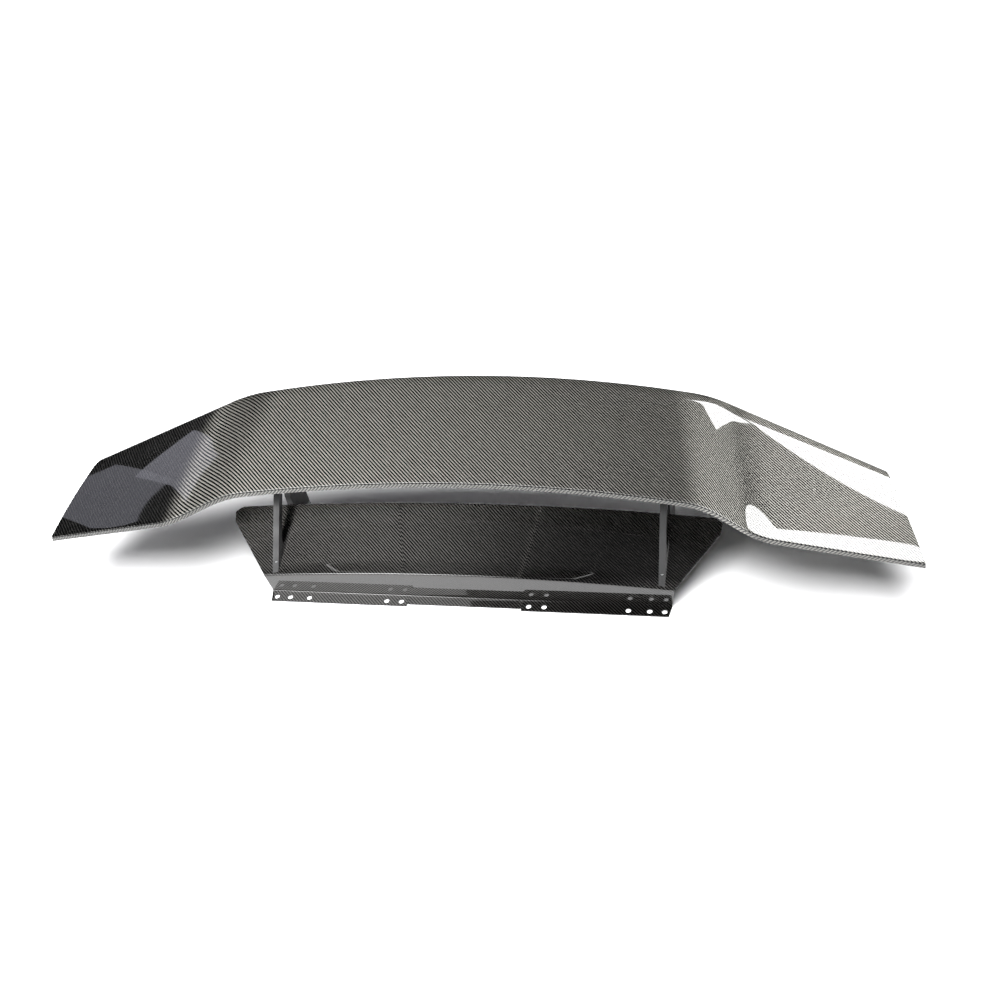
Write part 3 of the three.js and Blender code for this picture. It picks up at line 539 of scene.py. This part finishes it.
def powder_coat():
    """Satin black powder coat on cut aluminium plate: a fine orange peel about 1 mm across."""
    material, tree = new_material("satin_black_powder_coat")
    place = node(tree, "ShaderNodeTexCoord").outputs["Object"]
    peel = node(tree, "ShaderNodeTexNoise", {"Vector": place, "Scale": 900.0, "Detail": 2.0}).outputs[0]
    cloud = node(tree, "ShaderNodeTexNoise", {"Vector": place, "Scale": 30.0, "Detail": 3.0}).outputs[0]
    rough = node(tree, "ShaderNodeMapRange", {0: cloud, 1: 0.3, 2: 0.7, 3: 0.36, 4: 0.48}).outputs[0]
    colour = node(tree, "ShaderNodeMix", {0: cloud, 6: to_linear("#101011"), 7: to_linear("#161617")},
                  data_type="RGBA").outputs[2]
    bump = node(tree, "ShaderNodeBump", {"Height": peel, "Strength": 0.12, "Distance": 0.0002}).outputs[0]
    shader = node(tree, "ShaderNodeBsdfPrincipled", {"Base Color": colour, "Roughness": rough, "Normal": bump})
    node(tree, "ShaderNodeOutputMaterial", {0: shader.outputs[0]})
    return material


def machined_aluminium():
    """Milled aluminium alloy: cutter lines about 0.4 mm apart and a slightly grey oxide."""
    material, tree = new_material("machined_aluminium")
    place = node(tree, "ShaderNodeTexCoord").outputs["Object"]
    stretched = node(tree, "ShaderNodeMapping", {"Vector": place, "Scale": (2500.0, 60.0, 60.0)}).outputs[0]
    lines = node(tree, "ShaderNodeTexNoise", {"Vector": stretched, "Scale": 1.0, "Detail": 3.0}).outputs[0]
    rough = node(tree, "ShaderNodeMapRange", {0: lines, 1: 0.3, 2: 0.7, 3: 0.26, 4: 0.42}).outputs[0]
    bump = node(tree, "ShaderNodeBump", {"Height": lines, "Strength": 0.15, "Distance": 0.0001}).outputs[0]
    shader = node(tree, "ShaderNodeBsdfPrincipled", {
        "Base Color": to_linear("#c3c4c6"), "Metallic": 1.0, "Roughness": rough, "Normal": bump})
    node(tree, "ShaderNodeOutputMaterial", {0: shader.outputs[0]})
    return material


def zinc_plating():
    """Bright zinc plate on steel fasteners: blue-grey with faint cloudy patches a few millimetres wide."""
    material, tree = new_material("bright_zinc_plate")
    place = node(tree, "ShaderNodeTexCoord").outputs["Object"]
    cloud = node(tree, "ShaderNodeTexNoise", {"Vector": place, "Scale": 260.0, "Detail": 4.0}).outputs[0]
    colour = node(tree, "ShaderNodeMix", {0: cloud, 6: to_linear("#a9adb3"), 7: to_linear("#c9cac6")},
                  data_type="RGBA").outputs[2]
    rough = node(tree, "ShaderNodeMapRange", {0: cloud, 1: 0.3, 2: 0.7, 3: 0.22, 4: 0.36}).outputs[0]
    shader = node(tree, "ShaderNodeBsdfPrincipled", {"Base Color": colour, "Metallic": 1.0, "Roughness": rough})
    node(tree, "ShaderNodeOutputMaterial", {0: shader.outputs[0]})
    return material


def paint(piece, material):
    piece.data.materials.clear()
    piece.data.materials.append(material)


# ---------------------------------------------------------------- studio

def softbox(name, place, face, width, height, brightness, turn=0.0, shape="RECTANGLE", colour="#ffffff",
            flagged_to=None):
    """A lamp box. face is the direction it shines in, turn its angle about that direction in degrees, and
    brightness the radiance of its cloth, so a bigger box gives more light without looking any brighter.
    flagged_to is the collection that the box is flagged to shine on, or None for the whole studio."""
    data = bpy.data.lights.new(name, "AREA")
    data.shape = shape
    data.size, data.size_y = width, height
    area = width * height * (math.pi / 4 if shape == "ELLIPSE" else 1.0)
    data.energy = math.pi * area * brightness
    data.color = to_linear(colour)[:3]
    lamp = bpy.data.objects.new(name, data)
    aim = Vector(face).to_track_quat("-Z", "Y").to_matrix().to_4x4()
    lamp.matrix_world = Matrix.Translation(place) @ aim @ Matrix.Rotation(math.radians(turn), 4, "Z")
    lamp.light_linking.receiver_collection = flagged_to
    bpy.context.scene.collection.objects.link(lamp)


def make_studio(wing, blade, paper):
    """White paper under the wing, a white cloth wall far round it, and lamp boxes. The paper has lamps of its
    own, so that the boxes over the wing don't wash out its shadow."""
    material, tree = new_material("white_paper_sweep")
    shader = node(tree, "ShaderNodeBsdfPrincipled", {"Base Color": to_linear("#f6f6f7"), "Roughness": 0.9})
    node(tree, "ShaderNodeOutputMaterial", {0: shader.outputs[0]})
    bpy.ops.mesh.primitive_plane_add(size=24, location=(0, 2, 0))
    floor = bpy.context.object
    floor.name = "floor"
    paint(floor, material)
    paper.objects.link(floor)
    material, tree = new_material("lit_white_cloth")
    cloth = node(tree, "ShaderNodeEmission", {"Color": to_linear("#ffffff"), "Strength": 1.0})
    node(tree, "ShaderNodeOutputMaterial", {0: cloth.outputs[0]})
    bpy.ops.mesh.primitive_cylinder_add(vertices=96, radius=6.5, depth=10,
                                        end_fill_type="NOTHING", location=(0, 0, 4.9))
    surround = bpy.context.object
    surround.name = "surround"
    surround.visible_diffuse = surround.visible_glossy = surround.visible_shadow = False
    paint(surround, material)
    down = (0, 0, -1)
    softbox("paper_light", (-0.6, -1.4, 6.0), down, 5.0, 5.0, 16, flagged_to=paper)
    softbox("paper_fill", (-3.6, -2.4, 2.6), (0.75, 0.5, -0.55), 3.0, 3.0, 2.2, flagged_to=paper)
    softbox("front_key", (1.6, -2.8, 2.6), (-0.4, 0.7, -0.6), 2.0, 1.4, 12, flagged_to=wing)
    softbox("front_strip", (-1.3, -1.8, 2.5), (0.3, 0.5, -0.8), 1.1, 2.0, 15, flagged_to=wing)
    softbox("overhead_bank", (-1.05, -0.9, 3.0), down, 2.1, 1.0, 9, flagged_to=blade)
    softbox("right_box_inner", (0.70, 1.46, 2.4), down, 0.75, 0.60, 15, 37, flagged_to=wing)
    softbox("right_box_outer", (1.87, 1.23, 2.4), down, 1.30, 0.90, 15, -60, flagged_to=wing)
    softbox("right_box_front", (1.25, 0.0, 2.4), down, 1.50, 0.96, 15, -18, "ELLIPSE", flagged_to=wing)
    softbox("left_wall", (-2.6, 1.02, 2.9), (1, 0, 0), 0.62, 2.0, 1.8, -12, "RECTANGLE", "#f0f0ff")
    softbox("left_wall_foot", (-2.6, 0.68, 1.72), (1, 0, 0), 0.75, 0.30, 1.2, -24, "RECTANGLE", "#f0f0ff")
    world = bpy.data.worlds.new("studio")
    world.use_nodes = True
    world.node_tree.nodes["Background"].inputs[0].default_value = to_linear("#c8c8cc")
    world.node_tree.nodes["Background"].inputs[1].default_value = 0.06
    bpy.context.scene.world = world
    bpy.context.scene.view_settings.view_transform = "Standard"


def make_camera():
    """A camera held to the right of the middle, looking down, and turned so that the wing lies level."""
    bearing, dip, roll = math.radians(-18.4), math.radians(43.91), math.radians(-11.77)
    place = Vector((0.614, -1.5123, 1.8153))
    forward = Vector((math.sin(bearing) * math.cos(dip), math.cos(bearing) * math.cos(dip), -math.sin(dip)))
    right = Vector((math.cos(bearing), -math.sin(bearing), 0))
    up = right.cross(forward)
    turned_right = right * math.cos(roll) + up * math.sin(roll)
    turned_up = up * math.cos(roll) - right * math.sin(roll)
    data = bpy.data.cameras.new("camera")
    data.sensor_width = 36
    data.lens = 46.8
    camera = bpy.data.objects.new("camera", data)
    axes = Matrix((turned_right, turned_up, -forward)).transposed().to_4x4()
    camera.matrix_world = Matrix.Translation(place) @ axes
    bpy.context.scene.collection.objects.link(camera)
    bpy.context.scene.camera = camera


# ---------------------------------------------------------------- the scene

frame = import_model()

blade_carbon = carbon_material("clear_coated_carbon_twill", "#787772", 1.0, True)
# The base cover uses the blade's carbon with darker tows: painted shade that darkens the whole base
base_carbon_painted_shade = carbon_material("clear_coated_carbon_twill_painted_shade", "#504f4d", 1.0, True)
cad_carbon = carbon_material("clear_coated_carbon_twill_edges", "#787772", 1.0, False)
bare_carbon = carbon_material("bare_carbon_twill", "#686763", 0.0, False)
black_coat = powder_coat()
aluminium = machined_aluminium()
zinc = zinc_plating()

upper, lower = make_blade()
base = make_base()
REBUILT = {"blade_upper_skin": (upper, blade_carbon), "blade_lower_skin": (lower, blade_carbon),
           "base_cover": (base, base_carbon_painted_shade)}
for cad_node, (piece, material) in REBUILT.items():
    paint(piece, material)
    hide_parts(cad_node)
    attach(piece, "root")

FINISH = {"gloss_carbon": cad_carbon, "dull_carbon": bare_carbon, "black_plate": black_coat,
          "aluminium": aluminium, "zinc_steel": zinc}
ROUNDED = {"black_plate": 0.8, "aluminium": 0.5, "zinc_steel": 0.35}
for entry in frame["record"]["subparts"]:
    name, slot = entry["node"], entry["material_slot"]
    if name in REBUILT:
        continue
    if slot in ROUNDED:
        piece = softened(name, ROUNDED[slot])
    else:
        piece = frame["nodes"][name]
    paint(piece, FINISH[slot])

wing = bpy.data.collections.new("wing")
for piece in list(bpy.context.scene.objects):
    if piece.type == "MESH":
        wing.objects.link(piece)
blade = bpy.data.collections.new("blade")
blade.objects.link(upper)
blade.objects.link(lower)
paper = bpy.data.collections.new("paper")
make_studio(wing, blade, paper)
make_camera()
